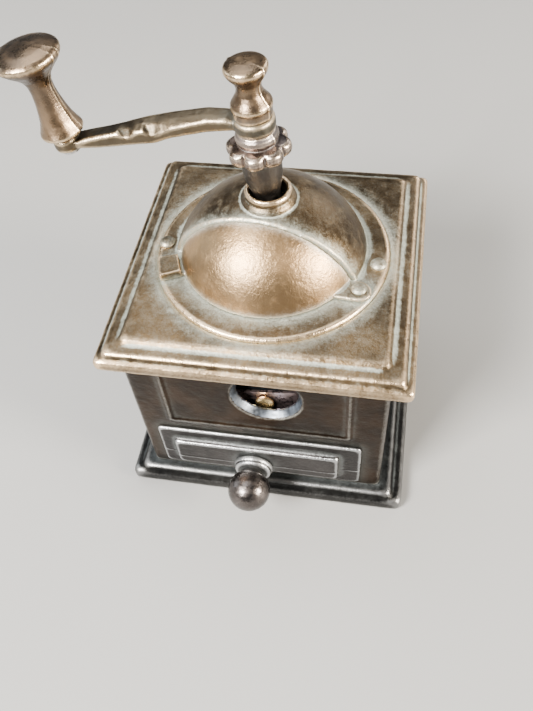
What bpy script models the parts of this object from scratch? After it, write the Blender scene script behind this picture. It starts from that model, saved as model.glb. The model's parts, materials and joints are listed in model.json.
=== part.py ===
"""Miniature cast coffee mill with a pencil sharpener behind its round window.

Every dimension below is in millimetres. The origin is on the table under the spindle, +X is the
mill's right side, -Y its front (the drawer), and +Z up. Touching pieces stand GAP apart.
"""

import math

import bmesh
import bpy
from mathutils import Matrix, Vector

MM = 0.001
GAP = 0.3

# Base plinth: (half width, half depth, height) up its moulded edge.
BASE_EDGE = [
    (25.6, 24.6, 0.0),
    (26.0, 25.0, 0.4),
    (26.0, 25.0, 2.3),
    (25.6, 24.75, 2.8),
    (24.1, 24.3, 3.15),
    (23.8, 24.15, 3.95),
    (23.5, 23.85, 4.2),
]
BASE_TOP = 4.2
PAD_HALF = (16.6, 20.4)
PAD_TOP = 5.2
RUNNER_X = 14.0
RUNNER_WIDTH = 1.2
RUNNER_TOP = 6.0

# Body box.
BODY_HALF_X = 21.6
BODY_FRONT = -22.48
BODY_BACK = 22.4
WALL = 1.6
BODY_FOOT = BASE_TOP + GAP
BODY_TOP = 36.7
PANEL_HALF = 16.05
PANEL_RIB = 0.8
PANEL_RAISE = 0.35
FRONT_PANEL_Z = (20.5, 35.8)
SIDE_PANEL_Z = (8.4, 35.8)
POST_X = (17.4, 20.6)
POST_Y = (17.9, 21.4)
TIE_X = 18.75
TIE_Y = 19.3
TIE_RADIUS = 0.65

# Round window in the front wall and pencil hole in the left wall.
WINDOW_X = 1.85
WINDOW_Z = 30.3
WINDOW_RADIUS = 6.15
WINDOW_INNER_RADIUS = 5.2
PENCIL_Y = -13.2
PENCIL_Z = 28.0
PENCIL_RADIUS = 4.4

# Lid: (half width, half depth, height) up its two mouldings.
LID_Y = -0.43
LID_EDGE = [
    (24.6, 23.96, 37.0),
    (25.0, 24.36, 37.4),
    (25.0, 24.36, 38.8),
    (24.75, 24.1, 39.1),
    (23.9, 23.75, 39.25),
    (23.56, 23.4, 39.6),
    (23.56, 23.4, 40.1),
    (23.2, 23.1, 40.35),
    (21.3, 21.3, 40.6),
    (20.87, 20.87, 41.1),
    (20.6, 20.6, 41.3),
]
LID_CEILING = 38.9
LID_RECESS_RADIUS = 19.65
LID_RECESS_FLOOR = 40.7

# Hopper: a round flange, a domed rear shell with the spindle collar, and a swinging front door.
FLANGE_RADIUS = 19.4
FLANGE_BOTTOM = 41.0
FLANGE_TOP = 41.8
REAR_CENTRE = (-0.3, 0.4, 37.1)
REAR_RADIUS = 16.57
REAR_WALL = 1.4
DOOR_CENTRE = (-0.2, -0.2, 38.2)
DOOR_RADIUS = 15.7
DOOR_WALL = 1.2
DOOR_FOOT = 42.1
SEAM_Y = -3.9
SEAM_TURN = math.radians(-7.0)
SEAM_TILT = math.radians(7.0)
COLLAR_LOWER = (4.1, 53.9)
COLLAR_UPPER = (3.55, 55.2)
COLLAR_BORE = 3.15
COLLAR_BOSS_BOTTOM = 51.5
PIVOT_X = 15.2
PIVOT_Y = -8.4
LUG_RADIUS = 2.0
LUG_TOP = 42.8
TAB_CORNERS = [(-18.3, -5.5), (-15.2, -4.4), (-13.8, -8.1), (-17.05, -9.6)]
TAB_TOP = 43.7
TAB_WEB_CORNERS = [(-15.6, -4.9), (-13.6, -4.4), (-12.2, -7.6), (-14.4, -8.0)]
TAB_WEB_TOP = 42.7
RIVETS = {"hopper_rivet_left": (-18.2, -0.5), "hopper_rivet_right": (17.8, -1.85)}
RIVET_HEAD = 1.3
RIVET_SHANK = 0.7

# Spindle: it stands off plumb in its worn collar; heights along it are measured from SPINDLE_Z.
SPINDLE_Z = 50.7
SPINDLE_LEAN = math.radians(4.1)
BOLT_RADIUS = 1.2
SPINDLE_BORE = 1.5
SLEEVE = (0.5, 10.9)
ROSETTE = (11.2, 15.2)
EYE = (15.5, 17.4)
EYE_RADIUS = 2.95
FINIAL_BOTTOM = 17.7

# Crank arm: its upper and lower outlines in the plane of the arm, (x, z), out from the eye.
ARM_TOP = [
    (-3.0, 67.6), (-5.1, 68.1), (-8.0, 67.9), (-10.2, 67.3), (-13.3, 66.4), (-15.9, 65.2),
    (-16.7, 65.1), (-17.7, 65.6), (-19.0, 65.3), (-19.9, 64.5), (-20.7, 64.4), (-21.7, 64.9),
    (-23.7, 64.4), (-26.1, 63.7), (-28.2, 63.0), (-29.7, 62.6),
]
ARM_BOTTOM = [
    (-29.7, 61.45), (-24.9, 62.0), (-20.0, 62.8), (-16.1, 63.4), (-13.7, 64.4), (-8.2, 65.8),
    (-5.3, 66.2), (-3.0, 66.45),
]
ARM_BACK = [
    (-3.0, 67.7), (-5.1, 68.2), (-8.0, 68.2), (-10.2, 67.8), (-13.3, 67.2), (-15.9, 66.6),
    (-16.7, 66.4), (-17.7, 66.1), (-19.0, 65.7), (-19.9, 65.4), (-20.7, 65.1), (-21.7, 64.8),
    (-23.7, 64.2), (-26.1, 63.6), (-28.2, 63.0), (-29.7, 62.6),
]
ARM_HALF_WIDTH = 1.5
KNOB_FOOT = (-30.78, 0.0, 63.65)
KNOB_LEAN = math.radians(8.0)
ARM_END_RADIUS = 2.1
ARM_END = (-2.6, -0.6)
PIN_RADIUS = 0.75

# Drawer.
DRAWER_X = -0.3
DRAWER_PLATE = (-18.65, 18.05, 6.4, 18.5)
DRAWER_PANEL = (-15.6, 14.1, 8.4, 15.7)
DRAWER_BACK = -22.78
DRAWER_PLATE_FRONT = -23.4
DRAWER_PANEL_FRONT = -24.4
TRAY_HALF = 16.7
TRAY_Y = (-22.48, 14.5)
TRAY_Z = (6.3, 17.4)
TRAY_WALL = 0.9
STOP_Y = (6.5, 8.0)
STOP_TOP = 18.6
PULL_X = -1.2
PULL_Z = 10.9
BALL_Y = -29.7
BALL_RADIUS = 3.7
PULL_SHANK = 0.8

# Sharpener insert.
BLOCK_X = (-16.7, 9.6)
BLOCK_Y = (-18.8, -7.5)
BLOCK_Z = (20.6, 33.5)
CONE_START_X = -9.0
CONE_END_X = 9.0
CONE_RADIUS = 4.15
CONE_TIP_RADIUS = 0.8
BLADE_Y = (-19.6, -19.1)
BLADE_X = (-6.0, 9.3)
BLADE_FOOT = 21.6
BLADE_EDGE = (26.9, 28.9)
BLADE_SCREW_X = 1.0
BLADE_SCREW_Z = 25.4
LEDGES_X = [(-13.5, -9.5), (5.0, 9.0)]
LEDGE_Z = (18.9, 20.3)
LEDGE_BACK = -7.6
LEDGE_SCREW_Y = -9.0

# Slot name: (colour, roughness, metallic).
FINISHES = {
    "antique_copper": ((0.30, 0.135, 0.07, 1.0), 0.36, 0.95),
    "bright_copper": ((0.62, 0.27, 0.15, 1.0), 0.3, 1.0),
    "aged_grey_copper": ((0.16, 0.11, 0.09, 1.0), 0.45, 0.9),
    "antique_bronze": ((0.36, 0.22, 0.14, 1.0), 0.26, 1.0),
    "dark_sleeve": ((0.07, 0.055, 0.05, 1.0), 0.42, 0.9),
    "zinc_casting": ((0.42, 0.43, 0.45, 1.0), 0.42, 0.9),
    "blade_steel": ((0.58, 0.55, 0.54, 1.0), 0.25, 1.0),
    "brass": ((0.72, 0.48, 0.19, 1.0), 0.28, 1.0),
    "plated_steel": ((0.5, 0.5, 0.5, 1.0), 0.3, 1.0),
}

for old in list(bpy.data.objects):
    bpy.data.objects.remove(old, do_unlink=True)


def make_finish(name):
    colour, roughness, metallic = FINISHES[name]
    made = bpy.data.materials.new(name)
    made.use_nodes = True
    shader = made.node_tree.nodes["Principled BSDF"]
    shader.inputs["Base Color"].default_value = colour
    shader.inputs["Roughness"].default_value = roughness
    shader.inputs["Metallic"].default_value = metallic
    made.diffuse_color = colour
    return made


MATERIALS = {name: make_finish(name) for name in FINISHES}


def build(name, bm, slot, frame=None, smooth=35.0):
    """Turns a mesh in millimetres, drawn in the local frame, into an object in metres."""
    bmesh.ops.recalc_face_normals(bm, faces=bm.faces)
    bmesh.ops.scale(bm, vec=(MM, MM, MM), verts=bm.verts)
    mesh = bpy.data.meshes.new(name)
    bm.to_mesh(mesh)
    bm.free()
    made = bpy.data.objects.new(name, mesh)
    bpy.context.scene.collection.objects.link(made)
    if frame is not None:
        made.matrix_world = frame
    if slot:
        mesh.materials.append(MATERIALS[slot])
    if smooth:
        mesh.polygons.foreach_set("use_smooth", [True] * len(mesh.polygons))
        mesh.set_sharp_from_angle(angle=math.radians(smooth))
    return made


def helper(name, bm, frame=None):
    """An object that only shapes another one."""
    made = build(name, bm, None, frame, smooth=0)
    made.hide_render = True
    made.display_type = "WIRE"
    return made


def combine(target, other, operation):
    made = target.modifiers.new(other.name, "BOOLEAN")
    made.operation = operation
    made.solver = "EXACT"
    made.object = other


def place(x, y, z, tilt=None):
    at = Matrix.Translation(Vector((x, y, z)) * MM)
    return at @ tilt if tilt is not None else at


def rounded(hx, hy, radius, cx=0.0, cy=0.0, steps=3):
    """Points of a rounded rectangle, anticlockwise."""
    points = []
    for corner, (sx, sy) in enumerate([(1, 1), (-1, 1), (-1, -1), (1, -1)]):
        for step in range(steps + 1):
            turn = math.radians(90 * (corner + step / steps))
            px = cx + sx * (hx - radius) + radius * math.cos(turn)
            py = cy + sy * (hy - radius) + radius * math.sin(turn)
            points.append((px, py))
    return points


def circle(radius, count):
    return [
        (radius * math.cos(2 * math.pi * i / count), radius * math.sin(2 * math.pi * i / count))
        for i in range(count)
    ]


def loft(bm, loops, ring=False):
    """Skins matching loops of points; a ring joins the last loop to the first, else both ends close."""
    rows = [[bm.verts.new(point) for point in loop] for loop in loops]
    pairs = list(zip(rows, rows[1:]))
    if ring:
        pairs.append((rows[-1], rows[0]))
    else:
        bm.faces.new(rows[0])
        bm.faces.new(rows[-1])
    for low, high in pairs:
        count = len(low)
        for i in range(count):
            j = (i + 1) % count
            bm.faces.new((low[i], low[j], high[j], high[i]))


def prism(bm, outline, low, high):
    loft(bm, [[(x, y, low) for x, y in outline], [(x, y, high) for x, y in outline]])


def box(bm, x, y, z):
    prism(bm, [(x[0], y[0]), (x[1], y[0]), (x[1], y[1]), (x[0], y[1])], z[0], z[1])


def lathe(bm, profile, count=32, ring=False, axis="Z", at=(0.0, 0.0, 0.0)):
    """Turns (radius, height) points about an axis; radius 0 at an end closes it on the axis."""
    def spot(x, y, z):
        if axis == "Y":
            x, y, z = x, z, y
        if axis == "X":
            x, y, z = z, x, y
        return (x + at[0], y + at[1], z + at[2])

    rows = []
    for radius, height in profile:
        if radius == 0:
            rows.append([bm.verts.new(spot(0.0, 0.0, height))])
        else:
            rows.append([bm.verts.new(spot(px, py, height)) for px, py in circle(radius, count)])
    pairs = list(zip(rows, rows[1:]))
    if ring:
        pairs.append((rows[-1], rows[0]))
    else:
        for end in (rows[0], rows[-1]):
            if len(end) > 1:
                bm.faces.new(end)
    for low, high in pairs:
        for i in range(count):
            j = (i + 1) % count
            if len(low) == 1:
                bm.faces.new((low[0], high[j], high[i]))
            elif len(high) == 1:
                bm.faces.new((low[i], low[j], high[0]))
            else:
                bm.faces.new((low[i], low[j], high[j], high[i]))


def rod(bm, x, y, low, high, radius, count=20):
    lathe(bm, [(radius, low), (radius, high)], count, at=(x, y, 0.0))


def corners():
    for name, sx, sy in (
        ("front_left", -1, -1),
        ("front_right", 1, -1),
        ("back_left", -1, 1),
        ("back_right", 1, 1),
    ):
        yield name, sx, sy


# ---- Base ----
shape = bmesh.new()
loft(shape, [[(x, y, z) for x, y in rounded(hx, hy, 1.0)] for hx, hy, z in BASE_EDGE])
base = build("base_plinth", shape, "aged_grey_copper")

shape = bmesh.new()
prism(shape, rounded(PAD_HALF[0], PAD_HALF[1], 1.0), BASE_TOP - 1.0, PAD_TOP)
combine(base, helper("base_pad", shape), "UNION")

shape = bmesh.new()
for side in (-1, 1):
    middle = DRAWER_X + side * RUNNER_X
    box(
        shape,
        (middle - RUNNER_WIDTH / 2, middle + RUNNER_WIDTH / 2),
        (-PAD_HALF[1] + 0.5, TRAY_Y[1]),
        (PAD_TOP - 0.6, RUNNER_TOP),
    )
combine(base, helper("base_runners", shape), "UNION")

shape = bmesh.new()
for _, sx, sy in corners():
    lathe(
        shape,
        [(2.1, -1.0), (2.1, 1.5), (TIE_RADIUS + GAP, 1.5), (TIE_RADIUS + GAP, BASE_TOP + 2.0)],
        20,
        at=(sx * TIE_X, sy * TIE_Y, 0.0),
    )
combine(base, helper("base_holes", shape), "DIFFERENCE")

# ---- Body ----
body_middle = (BODY_FRONT + BODY_BACK) / 2
body_half_y = (BODY_BACK - BODY_FRONT) / 2


def body_loop(inset, radius, z):
    outline = rounded(BODY_HALF_X - inset, body_half_y - inset, radius, 0.0, body_middle)
    return [(x, y, z) for x, y in outline]


shape = bmesh.new()
loft(
    shape,
    [
        body_loop(0.15, 0.7, BODY_FOOT),
        body_loop(0.0, 0.8, BODY_FOOT + 0.15),
        body_loop(0.0, 0.8, BODY_TOP),
        body_loop(WALL, 0.3, BODY_TOP),
        body_loop(WALL, 0.3, BODY_FOOT),
    ],
    ring=True,
)
body = build("body_shell", shape, "antique_copper")


def panel_rib(bm, turn, face, half, low, high):
    """A raised frame on one wall; turn 0 is the front wall, and face its distance from the centre."""
    spin = Matrix.Rotation(turn, 3, "Z")
    middle = (low + high) / 2
    tall = (high - low) / 2

    def ring_at(inset, out):
        outline = rounded(half - inset, tall - inset, 0.5, 0.0, middle, steps=2)
        return [spin @ Vector((x, -face - out, z)) for x, z in outline]

    loft(
        bm,
        [
            ring_at(0.0, -0.6),
            ring_at(0.0, PANEL_RAISE * 0.5),
            ring_at(0.2, PANEL_RAISE),
            ring_at(PANEL_RIB - 0.2, PANEL_RAISE),
            ring_at(PANEL_RIB, PANEL_RAISE * 0.5),
            ring_at(PANEL_RIB, -0.6),
        ],
        ring=True,
    )


shape = bmesh.new()
panel_rib(shape, 0.0, -BODY_FRONT, PANEL_HALF, *FRONT_PANEL_Z)
panel_rib(shape, math.pi, BODY_BACK, PANEL_HALF, *SIDE_PANEL_Z)
panel_rib(shape, math.pi / 2, BODY_HALF_X, PANEL_HALF, *SIDE_PANEL_Z)
panel_rib(shape, -math.pi / 2, BODY_HALF_X, PANEL_HALF, *SIDE_PANEL_Z)
combine(body, helper("body_panels", shape), "UNION")

shape = bmesh.new()
for _, sx, sy in corners():
    across = sorted((sx * POST_X[0], sx * POST_X[1]))
    deep = sorted((sy * POST_Y[0], sy * POST_Y[1]))
    box(shape, across, deep, (BODY_FOOT + 0.1, BODY_TOP - 0.1))
for ledge in LEDGES_X:
    box(shape, ledge, (BODY_FRONT + 0.8, LEDGE_BACK), LEDGE_Z)
combine(body, helper("body_posts_and_ledges", shape), "UNION")

shape = bmesh.new()
box(
    shape,
    (DRAWER_X - TRAY_HALF - GAP, DRAWER_X + TRAY_HALF + GAP),
    (BODY_FRONT - 2.0, BODY_FRONT + WALL + 0.5),
    (RUNNER_TOP, TRAY_Z[1] + GAP),
)
slope = (WINDOW_RADIUS - WINDOW_INNER_RADIUS) / WALL
lathe(
    shape,
    [
        (WINDOW_RADIUS + slope, BODY_FRONT - 1.0),
        (WINDOW_RADIUS, BODY_FRONT),
        (WINDOW_INNER_RADIUS, BODY_FRONT + WALL),
        (WINDOW_INNER_RADIUS - 0.2, BODY_FRONT + WALL + 0.4),
    ],
    40,
    axis="Y",
    at=(WINDOW_X, 0.0, WINDOW_Z),
)
lathe(
    shape,
    [(PENCIL_RADIUS, -BODY_HALF_X - 2.0), (PENCIL_RADIUS, -BODY_HALF_X + WALL + 0.5)],
    32,
    axis="X",
    at=(0.0, PENCIL_Y, PENCIL_Z),
)
for _, sx, sy in corners():
    rod(shape, sx * TIE_X, sy * TIE_Y, BODY_FOOT - 1.0, BODY_TOP + 1.0, TIE_RADIUS + GAP)
for ledge in LEDGES_X:
    middle = (ledge[0] + ledge[1]) / 2
    rod(shape, middle, LEDGE_SCREW_Y, LEDGE_Z[0] - 0.5, LEDGE_Z[1] + 0.2, 0.95, 16)
combine(body, helper("body_openings", shape), "DIFFERENCE")

# ---- Lid ----
shape = bmesh.new()
loft(shape, [[(x, y, z) for x, y in rounded(hx, hy, 0.7, 0.0, LID_Y)] for hx, hy, z in LID_EDGE])
lid = build("top_plate", shape, "antique_copper")

cross = []
for sx, sy, first in ((1, 1, "x"), (-1, 1, "y"), (-1, -1, "x"), (1, -1, "y")):
    wide = [(sx * 19.9, sy * 17.4), (sx * 16.6, sy * 17.4), (sx * 16.6, sy * 20.6)]
    cross.extend(wide if first == "x" else wide[::-1])
shape = bmesh.new()
prism(shape, cross, LID_EDGE[0][2] - 1.0, LID_CEILING)
lathe(shape, [(LID_RECESS_RADIUS, LID_RECESS_FLOOR), (LID_RECESS_RADIUS, 43.0)], 64)
for _, sx, sy in corners():
    rod(shape, sx * TIE_X, sy * TIE_Y, LID_EDGE[0][2] - 1.0, 39.4, TIE_RADIUS + GAP)
combine(lid, helper("lid_hollows", shape), "DIFFERENCE")

fixings = list(RIVETS.values()) + [(PIVOT_X, PIVOT_Y)]
shape = bmesh.new()
for x, y in fixings:
    rod(shape, x, y, LID_CEILING - 1.0, 43.0, RIVET_SHANK + GAP)
combine(lid, helper("lid_rivet_holes", shape), "DIFFERENCE")

# ---- Hopper ----
seam = (
    Matrix.Rotation(SEAM_TURN, 4, "Z")
    @ Matrix.Rotation(SEAM_TILT, 4, "X")
)


def seam_block(name, gap, front):
    """A block whose face is the seam between the shell and the door, in front of it or behind."""
    bm = bmesh.new()
    deep = (-40.0, -gap) if front else (gap, 40.0)
    box(bm, (-40.0, 40.0), deep, (-20.0, 30.0))
    return helper(name, bm, place(0.0, SEAM_Y, FLANGE_TOP, seam))


def dome(bm, centre, radius, wall, foot, rings=9, count=48):
    """A hollow dome standing on the height foot."""
    profile = []
    start = math.asin((foot - centre[2]) / radius)
    for step in range(rings):
        turn = start + (math.pi / 2 - start) * step / rings
        profile.append((radius * math.cos(turn), centre[2] + radius * math.sin(turn)))
    profile.append((0.0, centre[2] + radius))
    outer = profile
    inside = radius - wall
    start = math.asin((foot - centre[2]) / inside)
    inner = []
    for step in range(rings):
        turn = start + (math.pi / 2 - start) * step / rings
        inner.append((inside * math.cos(turn), centre[2] + inside * math.sin(turn)))
    inner.append((0.0, centre[2] + inside))
    lathe(bm, inner[::-1] + outer, count, at=(centre[0], centre[1], 0.0))


shape = bmesh.new()
dome(shape, REAR_CENTRE, REAR_RADIUS, REAR_WALL, FLANGE_TOP - 0.4)
hopper = build("hopper_shell", shape, "antique_copper")
combine(hopper, seam_block("seam_front", 0.0, True), "DIFFERENCE")

shape = bmesh.new()
lathe(
    shape,
    [
        (0.0, FLANGE_BOTTOM),
        (FLANGE_RADIUS, FLANGE_BOTTOM),
        (FLANGE_RADIUS, FLANGE_TOP - 0.2),
        (FLANGE_RADIUS - 0.25, FLANGE_TOP),
        (0.0, FLANGE_TOP),
    ],
    64,
)
combine(hopper, helper("hopper_flange", shape), "UNION")

shape = bmesh.new()
lathe(
    shape,
    [
        (0.0, COLLAR_BOSS_BOTTOM),
        (4.2, COLLAR_BOSS_BOTTOM),
        (4.2, 52.9),
        (COLLAR_LOWER[0] + 0.15, 53.2),
        (COLLAR_LOWER[0], COLLAR_LOWER[1] - 0.2),
        (COLLAR_LOWER[0] - 0.2, COLLAR_LOWER[1]),
        (COLLAR_UPPER[0], COLLAR_LOWER[1] + 0.05),
        (COLLAR_UPPER[0], COLLAR_UPPER[1] - 0.15),
        (COLLAR_UPPER[0] - 0.15, COLLAR_UPPER[1]),
        (0.0, COLLAR_UPPER[1]),
    ],
    40,
)
combine(hopper, helper("hopper_collar", shape), "UNION")

shape = bmesh.new()
rod(shape, 0.0, 0.0, COLLAR_BOSS_BOTTOM - 2.0, COLLAR_UPPER[1] + 1.0, COLLAR_BORE, 40)
for x, y in fixings:
    rod(shape, x, y, FLANGE_BOTTOM - 1.0, FLANGE_TOP + 1.0, RIVET_SHANK + GAP)
combine(hopper, helper("hopper_holes", shape), "DIFFERENCE")

# The door is drawn about its pivot, so that its origin is on the hinge axis.
pivot = place(PIVOT_X, PIVOT_Y, 0.0)
shape = bmesh.new()
door_middle = (DOOR_CENTRE[0] - PIVOT_X, DOOR_CENTRE[1] - PIVOT_Y, DOOR_CENTRE[2])
dome(shape, door_middle, DOOR_RADIUS, DOOR_WALL, DOOR_FOOT)
door = build("hopper_door", shape, "bright_copper", pivot)
combine(door, seam_block("seam_back", -0.35, False), "DIFFERENCE")

shape = bmesh.new()
inward = math.radians(174.0)
lug = []
for step in range(9):
    turn = inward + math.pi / 2 + math.pi * step / 8
    lug.append((LUG_RADIUS * math.cos(turn), LUG_RADIUS * math.sin(turn)))
reach = 3.6
for side in (-1, 1):
    turn = inward + side * math.pi / 2
    lug.append(
        (
            reach * math.cos(inward) + LUG_RADIUS * math.cos(turn),
            reach * math.sin(inward) + LUG_RADIUS * math.sin(turn),
        )
    )
prism(shape, lug, DOOR_FOOT, LUG_TOP)
web = [(x - PIVOT_X, y - PIVOT_Y) for x, y in TAB_WEB_CORNERS]
prism(shape, web, DOOR_FOOT + 0.02, TAB_WEB_TOP)
combine(door, helper("door_lug_and_web", shape, pivot), "UNION")
shape = bmesh.new()
tab = [(x - PIVOT_X, y - PIVOT_Y) for x, y in TAB_CORNERS]
prism(shape, tab, DOOR_FOOT, TAB_TOP)
combine(door, helper("door_tab", shape, pivot), "UNION")

shape = bmesh.new()
rod(shape, 0.0, 0.0, DOOR_FOOT - 1.0, LUG_TOP + 1.0, RIVET_SHANK + GAP)
combine(door, helper("door_pivot_hole", shape, pivot), "DIFFERENCE")


def rivet(name, x, y, seat):
    bm = bmesh.new()
    low = LID_CEILING - GAP
    lathe(
        bm,
        [
            (0.0, low - 0.75),
            (0.7, low - 0.7),
            (1.1, low - 0.4),
            (1.15, low),
            (RIVET_SHANK, low),
            (RIVET_SHANK, seat),
            (RIVET_HEAD, seat),
            (RIVET_HEAD - 0.1, seat + 0.25),
            (0.9, seat + 0.52),
            (0.45, seat + 0.66),
            (0.0, seat + 0.7),
        ],
        20,
    )
    return build(name, bm, "antique_copper", place(x, y, 0.0))


for rivet_name, (rivet_x, rivet_y) in RIVETS.items():
    rivet(rivet_name, rivet_x, rivet_y, FLANGE_TOP + GAP)
rivet("door_pivot_rivet", PIVOT_X, PIVOT_Y, LUG_TOP + GAP)

# ---- Spindle and crank, drawn in the spindle's own frame ----
spindle = place(0.0, 0.0, SPINDLE_Z, Matrix.Rotation(-SPINDLE_LEAN, 4, "Y"))

shape = bmesh.new()
lathe(
    shape,
    [
        (0.0, -2.3),
        (1.8, -2.3),
        (2.1, -2.0),
        (2.1, -0.8),
        (BOLT_RADIUS, -0.8),
        (BOLT_RADIUS, 20.0),
        (BOLT_RADIUS - 0.2, 20.2),
        (0.0, 20.2),
    ],
    20,
)
build("spindle_bolt", shape, "plated_steel", spindle)

shape = bmesh.new()
washer = [(SPINDLE_BORE, -0.5), (3.8, -0.5), (3.8, 0.2), (SPINDLE_BORE, 0.2)]
lathe(shape, washer, 32, ring=True)
build("retaining_washer", shape, "plated_steel", spindle)

shape = bmesh.new()
lathe(
    shape,
    [
        (SPINDLE_BORE, SLEEVE[0]),
        (2.2, SLEEVE[0]),
        (2.2, 4.4),
        (2.45, 5.1),
        (2.75, 6.0),
        (2.95, 7.2),
        (3.05, 8.6),
        (3.05, SLEEVE[1] - 0.15),
        (2.9, SLEEVE[1]),
        (SPINDLE_BORE, SLEEVE[1]),
    ],
    32,
    ring=True,
)
build("spindle_sleeve", shape, "dark_sleeve", spindle)


def lobed(radius, depth, count=64):
    """A ring of eight round lobes."""
    points = []
    for i in range(count):
        turn = 2 * math.pi * i / count
        out = radius - depth * (1 - abs(math.cos(4 * turn)) ** 0.7)
        points.append((out * math.cos(turn), out * math.sin(turn)))
    return points


shape = bmesh.new()
low, high = ROSETTE
rows = [
    (circle(SPINDLE_BORE, 64), low),
    (lobed(4.2, 0.7), low),
    (lobed(4.75, 0.95), low + 0.4),
    (lobed(4.85, 1.0), low + 1.0),
    (lobed(4.75, 0.95), low + 1.6),
    (lobed(4.3, 0.7), low + 1.95),
    (circle(3.0, 64), low + 2.1),
    (circle(2.75, 64), low + 2.2),
    (circle(3.0, 64), low + 2.5),
    (circle(3.15, 64), low + 3.0),
    (circle(3.05, 64), low + 3.5),
    (circle(2.75, 64), low + 3.8),
    (circle(2.75, 64), high),
    (circle(SPINDLE_BORE, 64), high),
]
loft(shape, [[(x, y, z) for x, y in outline] for outline, z in rows], ring=True)
build("rosette_collar", shape, "antique_bronze", spindle)

to_spindle = spindle.inverted()
knob = place(*KNOB_FOOT, Matrix.Rotation(-KNOB_LEAN, 4, "Y"))

shape = bmesh.new()


def arm_loop(back, shrink, y):
    """The arm's outline at y: back blends its top from the notched front edge to the plain back one."""
    points = []
    for (front_x, front_z), (_, back_z) in zip(ARM_TOP, ARM_BACK):
        points.append((front_x, front_z + (back_z - front_z) * back - shrink))
    points.extend((x, z + shrink) for x, z in ARM_BOTTOM)
    loop = []
    for x, z in points:
        spot = to_spindle @ (Vector((x, 0.0, z)) * MM)
        loop.append((spot.x / MM, y, spot.z / MM))
    return loop


loft(
    shape,
    [
        arm_loop(0.0, 0.35, -ARM_HALF_WIDTH),
        arm_loop(0.0, 0.05, -ARM_HALF_WIDTH + 0.3),
        arm_loop(0.7, 0.0, -0.3),
        arm_loop(1.0, 0.0, ARM_HALF_WIDTH - 0.3),
        arm_loop(1.0, 0.35, ARM_HALF_WIDTH),
    ],
)
arm = build("crank_arm", shape, "antique_bronze", spindle)

shape = bmesh.new()
lathe(
    shape,
    [
        (0.0, EYE[0]),
        (EYE_RADIUS - 0.25, EYE[0]),
        (EYE_RADIUS, EYE[0] + 0.25),
        (EYE_RADIUS, EYE[1] - 0.25),
        (EYE_RADIUS - 0.25, EYE[1]),
        (0.0, EYE[1]),
    ],
    32,
)
combine(arm, helper("arm_eye", shape, spindle), "UNION")

shape = bmesh.new()
lathe(
    shape,
    [
        (0.0, ARM_END[0]),
        (ARM_END_RADIUS - 0.25, ARM_END[0]),
        (ARM_END_RADIUS, ARM_END[0] + 0.25),
        (ARM_END_RADIUS, ARM_END[1] - 0.25),
        (ARM_END_RADIUS - 0.25, ARM_END[1]),
        (0.0, ARM_END[1]),
    ],
    24,
)
combine(arm, helper("arm_end", shape, knob), "UNION")

shape = bmesh.new()
rod(shape, 0.0, 0.0, ARM_END[0] - 1.0, ARM_END[1] + 1.0, PIN_RADIUS + GAP, 20)
combine(arm, helper("arm_pin_hole", shape, knob), "DIFFERENCE")

shape = bmesh.new()
rod(shape, 0.0, 0.0, EYE[0] - 1.0, EYE[1] + 1.0, SPINDLE_BORE, 28)
combine(arm, helper("arm_eye_hole", shape, spindle), "DIFFERENCE")

shape = bmesh.new()
lathe(
    shape,
    [
        (0.0, 20.5),
        (SPINDLE_BORE, 20.5),
        (SPINDLE_BORE, FINIAL_BOTTOM),
        (2.7, FINIAL_BOTTOM),
        (2.75, FINIAL_BOTTOM + 0.2),
        (2.75, 19.0),
        (2.95, 19.2),
        (2.95, 19.6),
        (2.7, 20.0),
        (2.25, 20.6),
        (1.85, 21.3),
        (1.7, 22.0),
        (1.8, 22.7),
        (2.15, 23.4),
        (2.65, 24.0),
        (3.0, 24.6),
        (3.05, 24.95),
        (2.9, 25.3),
        (2.3, 25.6),
        (1.2, 25.8),
        (0.0, 25.85),
    ],
    32,
)
build("finial_nut", shape, "antique_bronze", spindle)

shape = bmesh.new()
lathe(
    shape,
    [
        (0.0, 9.6),
        (1.3, 9.2),
        (1.3, 7.2),
        (PIN_RADIUS + GAP, 6.8),
        (PIN_RADIUS + GAP, 0.0),
        (3.0, 0.0),
        (3.35, 0.25),
        (3.4, 0.6),
        (3.0, 1.4),
        (2.6, 2.4),
        (2.25, 3.8),
        (1.95, 5.4),
        (1.8, 7.0),
        (1.85, 8.3),
        (2.3, 9.4),
        (3.2, 10.4),
        (4.2, 11.3),
        (4.85, 12.0),
        (5.0, 12.4),
        (4.95, 12.75),
        (4.5, 13.2),
        (3.2, 13.65),
        (1.6, 13.9),
        (0.0, 13.95),
    ],
    32,
)
build("crank_knob", shape, "antique_bronze", knob)

shape = bmesh.new()
lathe(
    shape,
    [
        (0.0, -3.6),
        (0.9, -3.5),
        (1.5, -3.2),
        (1.5, -2.9),
        (PIN_RADIUS, -2.9),
        (PIN_RADIUS, 7.6),
        (1.0, 7.9),
        (1.0, 8.5),
        (0.7, 8.8),
        (0.0, 8.9),
    ],
    20,
)
build("knob_pin", shape, "plated_steel", knob)

# ---- Drawer, drawn about the middle of its front ----
slide = place(DRAWER_X, DRAWER_BACK, 0.0)


def plate(bm, x, z, back, front, radius):
    """An upright plate with a chamfered front edge, drawn in the drawer's frame."""
    half_x = (x[1] - x[0]) / 2
    half_z = (z[1] - z[0]) / 2
    middle = ((x[0] + x[1]) / 2 - DRAWER_X, (z[0] + z[1]) / 2)

    def loop(inset, y):
        outline = rounded(half_x - inset, half_z - inset, radius, *middle, steps=2)
        return [(px, y - DRAWER_BACK, pz) for px, pz in outline]

    loft(bm, [loop(0.0, back), loop(0.0, front + 0.2), loop(0.2, front)])


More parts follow.
